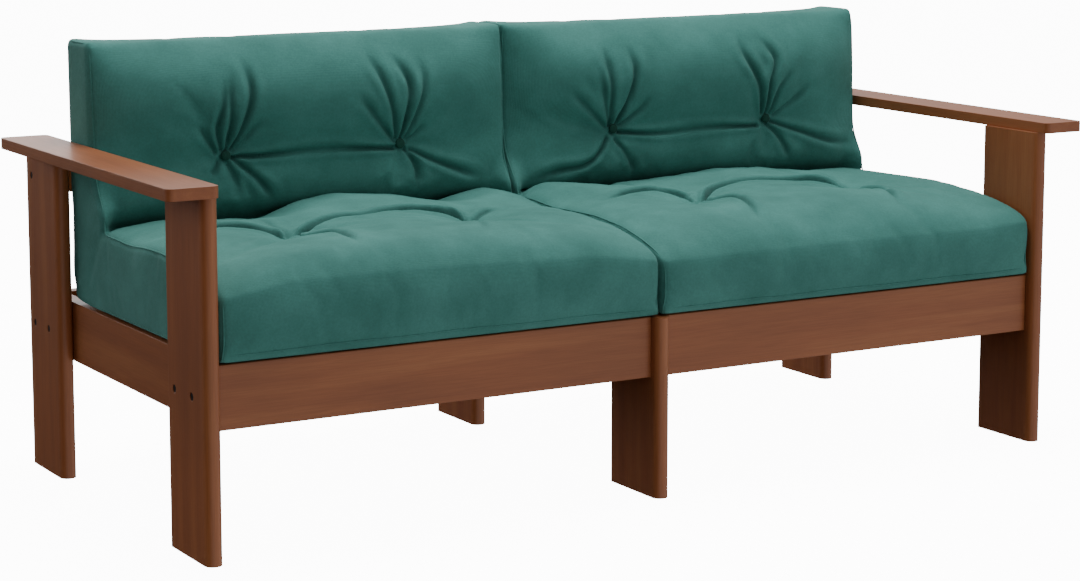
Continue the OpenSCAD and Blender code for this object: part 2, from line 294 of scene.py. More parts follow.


# Teal brushed cotton cover: grey-green teal, with painted shade making it darker and cooler in the folds.
teal_cotton = brushed_cotton("cotton_brushed_teal", ("#3d746c", "#457e76", "#4d8880"), "#1a433d")
# Dark green cotton over the tufting buttons, with a darker tone for painted shade in folds.
green_cotton = brushed_cotton("cotton_covered_button_green", ("#1b4238", "#204b40", "#26564a"), "#0d2a22")


def wood_direction(name):
    """The way the grain of a board runs."""
    if name.startswith(("leg_", "back_slat", "arm_dowels")):
        return "z"
    if name.startswith(("arm_", "side_rail", "fixed_slat", "sliding_slat", "centre_beam",
                        "rail_dowels")):
        return "y"
    return "x"


slots = {row["node"]: row["material_slot"] for row in frame["record"]["subparts"]}
finish_of = {"zinc_steel": zinc, "black_steel": blackened, "dowel_wood": birch,
             "futon_fabric": teal_cotton, "button_fabric": green_cotton}
for name, node in nodes.items():
    if slots[name] == "stained_wood":
        finish = stained[wood_direction(name)]
    elif slots[name] == "slat_wood":
        finish = pine[wood_direction(name)]
    else:
        finish = finish_of[slots[name]]
    for material_slot in node.material_slots:
        material_slot.material = finish

# ------------------------------------------------------------------ futon modules

SEAT_LOW, SEAT_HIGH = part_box("futon_seat_left")
BACK_LOW, BACK_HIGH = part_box("futon_back_left")
FOLD_Y, DECK_Z = SEAT_HIGH.y, SEAT_LOW.z
HALF_WIDE = (SEAT_HIGH.x - SEAT_LOW.x) / 2
CENTRE_X = abs(SEAT_HIGH.x + SEAT_LOW.x) / 2
# Where the tufts are across a module, from its middle. The left back was tufted a little off centre.
BACK_TUFTS = {"left": (-0.170, 0.190), "right": (-0.184, 0.187)}
BACK_TUFT_Z = 0.598
SEAT_TUFTS = (-0.180, 0.180)
SEAT_TUFT_Y = -0.137
# The cut: where the flat panels lie before filling. The pad swells out from there.
FRONT_Y = SEAT_LOW.y + 0.001
SEAT_EDGE_Z = SEAT_HIGH.z - 0.013
BACK_EDGE_Y = BACK_LOW.y + 0.010
BACK_REAR_Y = FOLD_Y - 0.004
BACK_EDGE_Z = BACK_HIGH.z + 0.006
# The side panels stand this far in from the module's sides.
PANEL_INSET = 0.002
# Roundings of the cut: the seat's front edge, the low edge behind the fold, and all the others.
FRONT_ROLL, REAR_ROLL, SOFT_EDGE = 0.012, 0.045, 0.010
# The size of the shell's faces: small enough for the folds, large enough for a quick filling.
FACE_SIZE = 0.008
# The flat outline of a side panel, as (depth, height), from its low front corner round the rear.
SIDE_OUTLINE = ((FRONT_Y, DECK_Z), (BACK_REAR_Y, DECK_Z), (BACK_REAR_Y, BACK_EDGE_Z),
                (BACK_EDGE_Y, BACK_EDGE_Z), (BACK_EDGE_Y, SEAT_EDGE_Z), (FRONT_Y, SEAT_EDGE_Z))


def only(obj):
    """Makes obj the one selected and active object."""
    bpy.ops.object.select_all(action="DESELECT")
    obj.select_set(True)
    bpy.context.view_layer.objects.active = obj


def settle():
    """Puts the active object's place into its mesh."""
    bpy.ops.object.transform_apply(location=True, rotation=True, scale=True)


def read_points(obj):
    co = np.empty(len(obj.data.vertices) * 3, np.float32)
    obj.data.vertices.foreach_get("co", co)
    return co.reshape(-1, 3).astype(float)


def write_points(obj, co):
    obj.data.vertices.foreach_set("co", np.asarray(co, np.float32).ravel())
    obj.data.update()


def read_normals(obj):
    normals = np.empty(len(obj.data.vertices) * 3, np.float32)
    obj.data.vertices.foreach_get("normal", normals)
    return normals.reshape(-1, 3).astype(float)


def rise(x, low, high):
    """0 below low, 1 above high, smooth between."""
    t = np.clip((x - low) / (high - low), 0, 1)
    return t * t * (3 - 2 * t)


def choose_edges(mesh, wanted):
    """Leaves selected only the edges whose two ends both pass."""
    for part in (*mesh.vertices, *mesh.edges, *mesh.polygons):
        part.select = False
    for edge in mesh.edges:
        edge.select = all(wanted(mesh.vertices[k].co) for k in edge.vertices)


def folded_box(name, centre_x):
    """The cut of one module before filling: a box for the seat, and the back drawn up at its rear."""
    bpy.ops.object.select_all(action="DESELECT")
    bpy.ops.mesh.primitive_cube_add(size=1, location=(
        centre_x, (FRONT_Y + BACK_REAR_Y) / 2, (DECK_Z + SEAT_EDGE_Z) / 2))
    pad = bpy.context.active_object
    pad.name = name
    pad.scale = (2 * HALF_WIDE - 2 * PANEL_INSET, BACK_REAR_Y - FRONT_Y, SEAT_EDGE_Z - DECK_Z)
    settle()
    bpy.ops.object.mode_set(mode="EDIT")
    bpy.ops.mesh.select_all(action="SELECT")
    bpy.ops.mesh.bisect(plane_co=(0, BACK_EDGE_Y, 0), plane_no=(0, 1, 0))
    bpy.ops.mesh.select_all(action="DESELECT")
    bpy.ops.mesh.select_mode(type="FACE")
    bpy.ops.object.mode_set(mode="OBJECT")
    for face in pad.data.polygons:
        face.select = face.normal.z > 0.9 and face.center.y > BACK_EDGE_Y
    bpy.ops.object.mode_set(mode="EDIT")
    bpy.ops.mesh.extrude_region_move(
        TRANSFORM_OT_translate={"value": (0, 0, BACK_EDGE_Z - SEAT_EDGE_Z)})
    bpy.ops.mesh.select_all(action="SELECT")
    bpy.ops.mesh.normals_make_consistent(inside=False)
    bpy.ops.mesh.select_mode(type="EDGE")
    # The front edge rolls over, and so does the edge behind the fold.
    for near, far, roll in ((FRONT_Y, SEAT_EDGE_Z, FRONT_ROLL), (BACK_REAR_Y, DECK_Z, REAR_ROLL)):
        bpy.ops.object.mode_set(mode="OBJECT")
        choose_edges(pad.data, lambda p: abs(p.y - near) < 0.001 and abs(p.z - far) < 0.001)
        bpy.ops.object.mode_set(mode="EDIT")
        bpy.ops.mesh.bevel(offset=roll, segments=6)
    bpy.ops.object.mode_set(mode="OBJECT")
    rounding = pad.modifiers.new("rounding", "BEVEL")
    rounding.width = SOFT_EDGE
    rounding.segments = 2
    rounding.limit_method = "ANGLE"
    rounding.angle_limit = math.radians(50)
    only(pad)
    bpy.ops.object.modifier_apply(modifier=rounding.name)
    shell = pad.modifiers.new("shell", "REMESH")
    shell.mode = "VOXEL"
    shell.voxel_size = FACE_SIZE
    bpy.ops.object.modifier_apply(modifier=shell.name)
    return pad


# The filled surface, in metres: how high the seat's top stands along its depth, and how far forward the
# back's front stands up its height, at the middle of a module and along its side seams.
SEAT_MIDDLE = (
    (-0.395, 0.440), (-0.380, 0.462), (-0.345, 0.482), (-0.29, 0.495), (-0.22, 0.500), (-0.13, 0.500),
    (-0.06, 0.497), (-0.03, 0.498), (0.0, 0.503), (0.05, 0.508), (0.10, 0.507), (0.14, 0.500))
SEAT_SIDE = (
    (-0.396, 0.434), (-0.378, 0.446), (-0.345, 0.457), (-0.30, 0.469), (-0.25, 0.479), (-0.19, 0.484),
    (-0.13, 0.486), (-0.05, 0.484), (0.04, 0.476), (0.10, 0.471), (0.14, 0.474))
BACK_MIDDLE = (
    (0.47, 0.158), (0.50, 0.146), (0.53, 0.141), (0.565, 0.146), (0.598, 0.152), (0.63, 0.143),
    (0.67, 0.134), (0.70, 0.133), (0.73, 0.140), (0.755, 0.152), (0.78, 0.171), (0.80, 0.191),
    (0.812, 0.203))
BACK_SIDE = ((0.47, 0.146), (0.50, 0.153), (0.556, 0.158), (0.65, 0.167), (0.75, 0.174), (0.812, 0.178))
# How much further back the back's side seams lie than in the table: (left-hand seam, right-hand seam).
SEAM_BACK = {"left": (0.012, -0.004), "right": (0.032, 0.002)}
# The stretch of the back over which its seams lie back, and the slack past which a seam is rounded off more.
BACK_FOOT_Z, BACK_SPAN = 0.47, 0.36
LOOSE_SEAM = 0.02
# How high the seat stands just in front of the back, across the module.
SEAT_REAR = {
    "left": ((-0.42, 0.480), (-0.31, 0.490), (-0.21, 0.485), (-0.12, 0.480), (-0.04, 0.505), (0.03, 0.515),
             (0.15, 0.505), (0.24, 0.485), (0.30, 0.495), (0.36, 0.505), (0.42, 0.490)),
    "right": ((-0.42, 0.485), (-0.36, 0.505), (-0.21, 0.490), (-0.03, 0.500), (0.04, 0.505), (0.15, 0.500),
              (0.26, 0.485), (0.38, 0.485), (0.42, 0.475)),
}
# How high the front roll starts, across the module.
SEAT_NOSE = {
    "left": ((-0.42, 0.440), (-0.30, 0.460), (-0.10, 0.460), (0.10, 0.455), (0.30, 0.450), (0.42, 0.435)),
    "right": ((-0.42, 0.430), (0.10, 0.430), (0.30, 0.430), (0.42, 0.440)),
}


def read_table(table, at):
    """The value of a (place, value) table at each point, with its corners eased."""
    places, values = np.array(table).T
    return sum(np.interp(at + d, places, values) for d in (-0.012, -0.006, 0, 0.006, 0.012)) / 5


# The crowning, in metres: how far the front and rear panels bulge, how the back's top sags between its
# ears, how deep the fold sinks, how far the cover spans it at the seams, and how the tufts draw in.
FRONT_BULGE, REAR_BULGE = 0.009, 0.014
TOP_SAG, EAR_RISE = 0.004, 0.006
FOLD_SINK, FOLD_REACH = 0.032, 0.040
# The share of the sink that goes each way along the mitre.
MITRE = 0.70
SPAN_FORWARD, SPAN_REACH = 0.045, 0.10
TUFT_WIDE, TUFT_NARROW = 0.05, 0.018
SEAT_TUFT_DEPTHS, BACK_TUFT_DEPTHS = (0.011, 0.010), (0.008, 0.012)


def dimple(away, depths):
    """How far a tuft draws the cover in: a wide hollow with a narrow one at its middle."""
    return depths[0] / (1 + (away / TUFT_WIDE) ** 2) + depths[1] * np.exp(-(away / TUFT_NARROW) ** 2)


def crown(pad, cut, side, centre_x):
    """Fills the cut out to its crowned shape, with the tufts drawn in and the fold sunk."""
    co = cut.copy()
    x, y, z = cut[:, 0] - centre_x, cut[:, 1], cut[:, 2]
    u = np.clip(np.abs(x) / HALF_WIDE, 0, 1)
    # Seat: 0 at the deck and 1 at the top panel.
    up = np.clip((z - DECK_Z) / (SEAT_EDGE_Z - DECK_Z), 0, 1)
    seat = 1 - rise(z, SEAT_EDGE_Z + 0.004, SEAT_EDGE_Z + 0.03)
    before_back = 1 - rise(y, BACK_EDGE_Y - 0.004, BACK_EDGE_Y + 0.02)
    level = read_table(SEAT_SIDE, y) * u ** 3 + read_table(SEAT_MIDDLE, y) * (1 - u ** 3)
    nose_level = SEAT_SIDE[0][1] * u ** 3 + SEAT_MIDDLE[0][1] * (1 - u ** 3)
    level += (read_table(SEAT_NOSE[side], x) - nose_level) * (1 - rise(y, -0.37, -0.24))
    near_back = rise(y, -0.05, 0.09)
    level += near_back * (read_table(SEAT_REAR[side], x) - level)
    co[:, 2] += seat * up * before_back * (level - SEAT_EDGE_Z)
    # Front panel: bulges a little between its top and bottom seams.
    nose = 1 - rise(y, FRONT_Y, FRONT_Y + 0.16)
    co[:, 1] -= nose * FRONT_BULGE * np.sin(np.pi * up) * (1 - u ** 8) * seat
    # Back: 0 at the rear panel and 1 at the front one.
    ahead = np.clip((BACK_REAR_Y - y) / (BACK_REAR_Y - BACK_EDGE_Y), 0, 1)
    back = rise(z, SEAT_EDGE_Z - 0.01, SEAT_EDGE_Z + 0.05)
    back *= rise(y, BACK_EDGE_Y - 0.03, BACK_EDGE_Y - 0.01)
    slack = np.where(x < 0, *SEAM_BACK[side])
    round_off = np.where(slack > LOOSE_SEAM, u ** 3.5, u ** 5)
    up_back = np.clip((z - BACK_FOOT_Z) / BACK_SPAN, 0, 1)
    seam_line = read_table(BACK_SIDE, z) + slack * np.sin(np.pi * up_back)
    level = seam_line * round_off + read_table(BACK_MIDDLE, z) * (1 - round_off)
    co[:, 1] += back * ahead * (level - BACK_EDGE_Y)
    height = np.clip((z - SEAT_EDGE_Z) / (BACK_EDGE_Z - SEAT_EDGE_Z), 0, 1)
    co[:, 1] += back * (1 - ahead) * REAR_BULGE * (1 - u ** 5) * np.sin(np.pi * height)
    # Top panel: sags between its two corners, which stand up as ears.
    co[:, 2] -= back * height ** 8 * (TOP_SAG * (1 - u ** 6) - EAR_RISE * u ** 14)
    # The fold: the corner between seat and back sinks along the mitre, down to the real fold line.
    reach = np.hypot(y - BACK_EDGE_Y, z - SEAT_EDGE_Z)
    sink = FOLD_SINK * (1 - rise(reach, 0.004, FOLD_REACH)) * (1 - 0.9 * rise(u, 0.85, 1.0))
    facing = (y < BACK_EDGE_Y + 0.02) & (z > SEAT_EDGE_Z - 0.02)
    co[:, 1] += sink * facing * MITRE
    co[:, 2] -= sink * facing * MITRE
    # At the side seams the cover does not follow the fold in: it spans the corner.
    co[:, 1] -= SPAN_FORWARD * (1 - rise(reach, 0.0, SPAN_REACH)) * rise(u, 0.90, 1.0)
    # Tufts.
    for seat_tuft, back_tuft in zip(SEAT_TUFTS, BACK_TUFTS[side]):
        away = np.hypot(x - seat_tuft, y - SEAT_TUFT_Y)
        co[:, 2] -= seat * up ** 2 * before_back * dimple(away, SEAT_TUFT_DEPTHS)
        away = np.hypot(x - back_tuft, z - BACK_TUFT_Z)
        drawn = dimple(away, BACK_TUFT_DEPTHS)
        co[:, 1] += back * ahead ** 2 * drawn
        co[:, 1] -= back * (1 - ahead) ** 2 * 1.1 * drawn
    write_points(pad, co)


def seam_gap(cut, centre_x):
    """How far each point of the cut lies from the seams round the two side panels."""
    inward = np.maximum(HALF_WIDE - PANEL_INSET - np.abs(cut[:, 0] - centre_x), 0)
    place = cut[:, 1:]
    nearest = np.full(len(cut), 1.0)
    for k in range(len(SIDE_OUTLINE)):
        a = np.array(SIDE_OUTLINE[k])
        b = np.array(SIDE_OUTLINE[(k + 1) % len(SIDE_OUTLINE)])
        t = np.clip(((place - a) @ (b - a)) / ((b - a) @ (b - a)), 0, 1)
        nearest = np.minimum(nearest, np.linalg.norm(place - a - t[:, None] * (b - a), axis=1))
    return inward + nearest


def evened(pad, field, rounds):
    """A field on the pad's points, each round taking the mean of the points beside it."""
    ends = np.empty(len(pad.data.edges) * 2, np.int32)
    pad.data.edges.foreach_get("vertices", ends)
    a, b = ends.reshape(-1, 2).T
    beside = np.bincount(a, minlength=len(field)) + np.bincount(b, minlength=len(field))
    for _ in range(rounds):
        total = np.column_stack([
            np.bincount(a, field[b, k], len(field)) + np.bincount(b, field[a, k], len(field))
            for k in range(3)])
        field = total / beside[:, None]
    return field


FILL_STEPS = 20
FILL_PRESSURE = 2.5
# What the stitches hold: this far round each tuft, round the fold, and up from the underside.
HELD_TUFT, HELD_FOLD, HELD_UNDER = 0.012, 0.018, 0.012
# How far the filling may carry the cover from its cut: this much at a seam, and so much more away from one.
SEAM_SWELL, PANEL_SWELL = 0.005, 0.011
# The share of the slow swelling that is kept, and of the folds on the panels away from the tufts.
SLOW_SHARE = 0.30
FOLD_SHARE = 0.30


def fill(pad, cut, side, centre_x):
    """Stuffing: the shell swells under pressure, with its tufts, fold and underside held."""
    rest = read_points(pad)
    x, y, z = cut[:, 0] - centre_x, cut[:, 1], cut[:, 2]
    near_tuft = np.full(len(rest), 1.0)
    for seat_tuft, back_tuft in zip(SEAT_TUFTS, BACK_TUFTS[side]):
        seat_away = np.hypot(x - seat_tuft, y - SEAT_TUFT_Y) + (z < SEAT_EDGE_Z - 0.01)
        back_away = np.hypot(x - back_tuft, z - BACK_TUFT_Z)
        near_tuft = np.minimum(near_tuft, np.minimum(seat_away, back_away))
    fold = np.hypot(y - BACK_EDGE_Y, z - SEAT_EDGE_Z) < HELD_FOLD
    held = (near_tuft < HELD_TUFT) | fold | (z < DECK_Z + HELD_UNDER)
    group = pad.vertex_groups.new(name="held")
    group.add([int(k) for k in np.nonzero(held)[0]], 1.0, "REPLACE")
    cloth = pad.modifiers.new("stuffing", "CLOTH")
    settings = cloth.settings
    settings.quality = 5
    settings.mass = 0.35
    settings.air_damping = 3.0
    settings.tension_stiffness = 20
    settings.compression_stiffness = 12
    settings.shear_stiffness = 6
    settings.bending_stiffness = 0.6
    settings.use_pressure = True
    settings.uniform_pressure_force = FILL_PRESSURE
    settings.vertex_group_mass = "held"
    settings.shrink_min = -0.03
    settings.effector_weights.gravity = 0.0
    cloth.collision_settings.use_collision = False
    cloth.point_cache.frame_start = 1
    cloth.point_cache.frame_end = FILL_STEPS
    only(pad)
    for step in range(1, FILL_STEPS + 1):
        bpy.context.scene.frame_set(step)
    bpy.ops.object.modifier_apply(modifier=cloth.name)
    bpy.context.scene.frame_set(1)
    # Tight stuffing: most of the slow swelling is already in the cut, so what is kept is the folds that it
    # raised, whole round the tufts and fainter on the firm panels away from them.
    move = read_points(pad) - rest
    slow = evened(pad, move, 14)
    keen = FOLD_SHARE + (1 - FOLD_SHARE) * (1 - rise(near_tuft, 0.06, 0.16))
    move = SLOW_SHARE * slow + keen[:, None] * (move - slow)
    far = np.linalg.norm(move, axis=1)
    limit = SEAM_SWELL + PANEL_SWELL * rise(seam_gap(cut, centre_x), 0.0, 0.07)
    move *= (limit * np.tanh(far / limit) / np.maximum(far, 1e-9))[:, None]
    write_points(pad, rest + move)


# Creases, as (depth in mm, lap in mm, points). Points are across and up the back, or across and
# along the seat, in metres from the module's middle, from the tuft outwards. The lap lifts the cloth on the
# left of the line as it runs, or on the right when it is negative, so that it hangs over the crease.
BACK_CREASES = {
    "left": (
        (9, 0, ((-0.190, 0.605), (-0.210, 0.635), (-0.230, 0.665))),
        (11, 0, ((-0.180, 0.610), (-0.190, 0.650), (-0.180, 0.695), (-0.175, 0.750))),
        (11, 0, ((-0.170, 0.610), (-0.165, 0.655), (-0.165, 0.705), (-0.160, 0.755))),
        (12, 0, ((-0.160, 0.610), (-0.135, 0.665), (-0.125, 0.720), (-0.135, 0.785))),
        (6, 0, ((-0.155, 0.605), (-0.125, 0.640), (-0.100, 0.665))),
        (9, 0, ((-0.185, 0.585), (-0.200, 0.560))),
        (6, 0, ((-0.165, 0.580), (-0.155, 0.555), (-0.145, 0.520))),
        (10, 0, ((-0.155, 0.590), (-0.110, 0.550), (-0.070, 0.500))),
        (13, 3, ((-0.155, 0.595), (-0.100, 0.595), (0.010, 0.600), (0.115, 0.595), (0.175, 0.590))),
        (9, 0, ((0.175, 0.605), (0.135, 0.650), (0.085, 0.705))),
        (11, 0, ((0.180, 0.610), (0.165, 0.670), (0.140, 0.735), (0.115, 0.785))),
        (12, 0, ((0.190, 0.610), (0.200, 0.670), (0.200, 0.720), (0.165, 0.780))),
        (9, 0, ((0.200, 0.610), (0.225, 0.670), (0.235, 0.725), (0.225, 0.765))),
        (6, 0, ((0.205, 0.605), (0.245, 0.635))),
        (10, 0, ((0.210, 0.585), (0.275, 0.555), (0.370, 0.520))),
        (9, 0, ((0.200, 0.585), (0.220, 0.550), (0.220, 0.500))),
    ),
    "right": (
        (9, 0, ((-0.195, 0.605), (-0.215, 0.680), (-0.225, 0.730))),
        (11, 0, ((-0.190, 0.605), (-0.200, 0.695), (-0.210, 0.770))),
        (12, 0, ((-0.180, 0.605), (-0.155, 0.665), (-0.145, 0.720), (-0.160, 0.770))),
        (8, 0, ((-0.170, 0.605), (-0.130, 0.635), (-0.110, 0.665))),
        (7, 0, ((-0.200, 0.600), (-0.255, 0.650), (-0.295, 0.685))),
        (13, 3, ((-0.170, 0.590), (-0.080, 0.585), (0.035, 0.590), (0.160, 0.585))),
        (11, 0, ((-0.200, 0.580), (-0.225, 0.550), (-0.260, 0.530), (-0.325, 0.520), (-0.385, 0.500))),
        (8, 0, ((-0.180, 0.575), (-0.150, 0.530), (-0.135, 0.490))),
        (11, 0, ((0.175, 0.610), (0.155, 0.675), (0.120, 0.735), (0.115, 0.780))),
        (11, 0, ((0.185, 0.610), (0.185, 0.675), (0.195, 0.725), (0.155, 0.775))),
        (8, 0, ((0.195, 0.610), (0.210, 0.660), (0.245, 0.705))),
        (6, 0, ((0.205, 0.605), (0.270, 0.650), (0.290, 0.670))),
        (10, 0, ((0.200, 0.590), (0.260, 0.570), (0.340, 0.545), (0.420, 0.535))),
        (8, 0, ((0.190, 0.585), (0.220, 0.550), (0.245, 0.495))),
    ),
}
SEAT_CREASES = {
    "left": (
        (10, -8, ((-0.190, -0.130), (-0.205, -0.090), (-0.235, -0.055), (-0.275, -0.040),
                  (-0.340, -0.040))),
        (5, 0, ((-0.180, -0.125), (-0.175, -0.080), (-0.170, 0.040))),
        (16, 12, ((-0.175, -0.150), (-0.125, -0.115), (-0.065, -0.080), (-0.010, -0.070), (0.050, -0.045),
                  (0.100, -0.040), (0.135, -0.055), (0.160, -0.080), (0.175, -0.130))),
        (8, 4, ((-0.170, -0.150), (-0.125, -0.195), (-0.130, -0.270), (-0.145, -0.340))),
        (8, 3, ((0.190, -0.130), (0.240, -0.090), (0.275, -0.075))),
        (5, 0, ((0.180, -0.120), (0.185, -0.060), (0.190, 0.010))),
        (4, 0, ((0.180, -0.160), (0.140, -0.260), (0.100, -0.340))),
    ),
    "right": (
        (10, -8, ((-0.185, -0.120), (-0.200, -0.070), (-0.230, -0.040), (-0.290, -0.050),
                  (-0.360, -0.080))),
        (5, 0, ((-0.185, -0.120), (-0.170, -0.080), (-0.170, -0.020))),
        (16, 12, ((-0.170, -0.145), (-0.110, -0.090), (-0.035, -0.055), (0.015, -0.050), (0.070, -0.070),
                  (0.130, -0.080), (0.170, -0.125))),
        (8, 4, ((-0.165, -0.150), (-0.125, -0.180), (-0.150, -0.270), (-0.180, -0.350))),
        (8, 4, ((0.185, -0.150), (0.205, -0.180), (0.190, -0.250), (0.150, -0.340))),
        (5, 0, ((0.185, -0.120), (0.195, -0.060), (0.205, 0.000))),
    ),
}


LINE_STEP = 0.004
LINE_REACH = 0.06


def run_points(points):
    """A smooth line through the points, with a place every LINE_STEP or so."""
    control = np.array(points, float)
    padded = np.vstack([2 * control[0] - control[1], control, 2 * control[-1] - control[-2]])
    line = []
    for k in range(1, len(padded) - 2):
        p0, p1, p2, p3 = padded[k - 1:k + 3]
        count = max(3, int(np.linalg.norm(p2 - p1) / LINE_STEP))
        for t in np.linspace(0, 1, count, endpoint=False):
            line.append(0.5 * (2 * p1 + (p2 - p0) * t + (2 * p0 - 5 * p1 + 4 * p2 - p3) * t ** 2
                               + (3 * p1 - p0 - 3 * p2 + p3) * t ** 3))
    line.append(control[-1])
    return np.array(line)


def nearest_on(line, across):
    """For each point of a panel: its distance from a line, how far along, and on which side it lies."""
    gap, share, turn = np.full(len(across), 1.0), np.zeros(len(across)), np.zeros(len(across))
    low, high = line.min(axis=0) - LINE_REACH, line.max(axis=0) + LINE_REACH
    close = np.nonzero(((across > low) & (across < high)).all(axis=1))[0]
    if len(close):
        delta = across[close][:, None, :] - line[None, :, :]
        distance = np.hypot(delta[..., 0], delta[..., 1])
        k = distance.argmin(axis=1)
        rows = np.arange(len(close))
        heading = np.gradient(line, axis=0)[k]
        gap[close] = distance[rows, k]
        share[close] = k / (len(line) - 1)
        turn[close] = np.sign(heading[:, 0] * delta[rows, k, 1] - heading[:, 1] * delta[rows, k, 0])
    return gap, share, turn


def panels(pad, side, centre_x):
    """The two creased panels: their creases, each point's place on the panel, and its share in it."""
    co, normals = read_points(pad), read_normals(pad)
    x = co[:, 0] - centre_x
    front = rise(-normals[:, 1], 0.05, 0.5) * rise(co[:, 2], SEAT_EDGE_Z, SEAT_EDGE_Z + 0.03)
    front *= (co[:, 1] < FOLD_Y - 0.06) & (co[:, 1] > BACK_EDGE_Y - 0.09)
    top = rise(normals[:, 2], 0.2, 0.6) * (1 - rise(co[:, 1], BACK_EDGE_Y - 0.06, BACK_EDGE_Y - 0.03))
    top *= (co[:, 2] < SEAT_EDGE_Z + 0.08) & (co[:, 2] > DECK_Z + 0.08)
    return ((BACK_CREASES[side], np.column_stack([x, co[:, 2]]), front),
            (SEAT_CREASES[side], np.column_stack([x, co[:, 1]]), top))


# Faces this near to a crease are halved.
FINE_BAND = 0.012


def refine(pad, side, centre_x):
    """Halves the faces beside the creases, so that a pleat a few millimetres wide keeps its edge."""
    close = np.zeros(len(pad.data.vertices), bool)
    for creases, across, here in panels(pad, side, centre_x):
        for _, _, points in creases:
            close |= (nearest_on(run_points(points), across)[0] < FINE_BAND) & (here > 0.1)
    chosen = close.tolist()
    for part in (*pad.data.vertices, *pad.data.edges, *pad.data.polygons):
        part.select = False
    for face in pad.data.polygons:
        face.select = all(chosen[k] for k in face.vertices)
    bpy.ops.object.mode_set(mode="EDIT")
    bpy.ops.mesh.select_mode(type="FACE")
    bpy.ops.mesh.subdivide(number_cuts=1, smoothness=0.0)
    bpy.ops.object.mode_set(mode="OBJECT")


# A crease this deep or deeper runs from one tuft to the other.
JOIN_DEPTH_MM = 13
# Half a crease's width where it starts, and what it gains on the way, in metres.
CREASE_START, CREASE_GAIN = 0.0034, 0.0050
# The shares of a crease's depth that go into its valley and into the two ridges beside it.
VALLEY_SHARE, RIDGE_SHARE = 0.55, 0.30
# How far a lap takes to rise at the crease, and how far it reaches over the cloth beside it.
LAP_RISE = (-0.0005, 0.0035)
LAP_REACH = 0.030
# A crease this deep gets the full painted shade, this share of the way to the dark crease tone.
DARKEST_MM = 12
DARKEST = 0.75
MM = 0.001


def pleat(pad, side, centre_x):
    """Draws the creases into the filled pad, and keeps how deep they are as painted shade for the cloth's
    colour.
    """
    co, normals = read_points(pad), read_normals(pad)
    inward = np.zeros(len(co))
    fold = np.zeros(len(co))
    for creases, across, here in panels(pad, side, centre_x):
        for deep, lap, points in creases:
            gap, share, turn = nearest_on(run_points(points), across)
            if deep >= JOIN_DEPTH_MM:
                fade = 0.72 + 0.28 * np.cos(2 * np.pi * share)
                width = CREASE_START + CREASE_GAIN * np.minimum(share, 1 - share)
            else:
                fade = 1 - rise(share, 0.60, 1.0)
                width = CREASE_START + CREASE_GAIN * share
            valley = np.exp(-(gap / width) ** 2) * fade * here
            ridge = np.exp(-((gap - 2.4 * width) / (1.4 * width)) ** 2) * fade * here
            inward += deep * MM * (VALLEY_SHARE * valley - RIDGE_SHARE * ridge)
            if lap:
                over = rise(gap * turn * np.sign(lap), *LAP_RISE)
                over *= np.exp(-(gap / LAP_REACH) ** 2)
                over *= rise(share, 0.0, 0.10) * (1 - rise(share, 0.90, 1.0))
                inward -= abs(lap) * MM * over * fade * here
            # Painted shade: the deeper a crease's valley, the darker its cloth is painted.
            fold = np.maximum(fold, valley * min(1.0, deep / DARKEST_MM) * DARKEST)
    write_points(pad, co - normals * inward[:, None])
    attribute = pad.data.attributes.new("painted_crease_shade", "FLOAT", "POINT")
    attribute.data.foreach_set("value", fold.astype(np.float32))


# How far a pad may stand past its module's side, and the stretch before that over which it is pressed flat.
SIDE_REACH, SIDE_PRESS = 0.001, 0.004
# The pad rests this far over the deck, and droops this far over the rails in front and at the sofa's ends.
REST_GAP, RAIL_DROOP = 0.0005, 0.0045
# Where the pad starts to lie over a side rail, where it is wholly over it, and where the rail's droop ends.
OVER_SIDE_RAIL = (0.826, 0.840)
DROOP_END = (0.20, 0.26)
# How far the back may stand past the fold line behind.
REAR_REACH = 0.026


def keep_clear(pad, cut, centre_x):
    """Flat where it rests, drooping a little over the rails, clear of the legs and the other module."""
    co = read_points(pad)
    x = co[:, 0] - centre_x
    out = np.sign(x)
    reach = HALF_WIDE + SIDE_REACH
    firm = reach - SIDE_PRESS
    over = np.maximum(np.abs(x) - firm, 0)
    pressed = out * (firm + SIDE_PRESS * np.tanh(over / SIDE_PRESS))
    co[:, 0] = centre_x + np.where(over > 0, pressed, x)
    under = cut[:, 2] < DECK_Z + 0.006
    # The low outer edge is square: it fills the corner between the rail and the leg.
    low = 1 - rise(cut[:, 2], DECK_Z + 0.004, DECK_Z + 0.024)
    edge = low * rise(np.abs(x), reach - 0.03, reach - 0.01)
    co[:, 0] += out * edge * 0.7 * np.maximum(reach - np.abs(x), 0)
    over_front_rail = 1 - rise(co[:, 1], FRONT_Y + 0.012, FRONT_Y + 0.03)
    over_side_rail = rise(np.abs(co[:, 0]), *OVER_SIDE_RAIL) * (1 - rise(co[:, 1], *DROOP_END))
    rests = DECK_Z + REST_GAP - RAIL_DROOP * np.maximum(over_front_rail, over_side_rail)
    co[:, 2] = np.where(under, rests, np.maximum(co[:, 2] - 0.6 * low * (co[:, 2] - rests), rests))
    co[:, 1] = np.minimum(co[:, 1], FOLD_Y + REAR_REACH)
    write_points(pad, co)


def seam_path(cut, full, route):
    """Where a line on the cut lies on the filled pad: the mean of the nearest points, smoothed."""
    found = []
    for place in route:
        near = np.argsort(((cut - np.array(place)) ** 2).sum(axis=1))[:4]
        found.append(full[near].mean(axis=0))
    found = np.array(found)
    for _ in range(3):
        found[1:-1] = (found[:-2] + 2 * found[1:-1] + found[2:]) / 4
    return found


SEAM_RADIUS = 0.0015


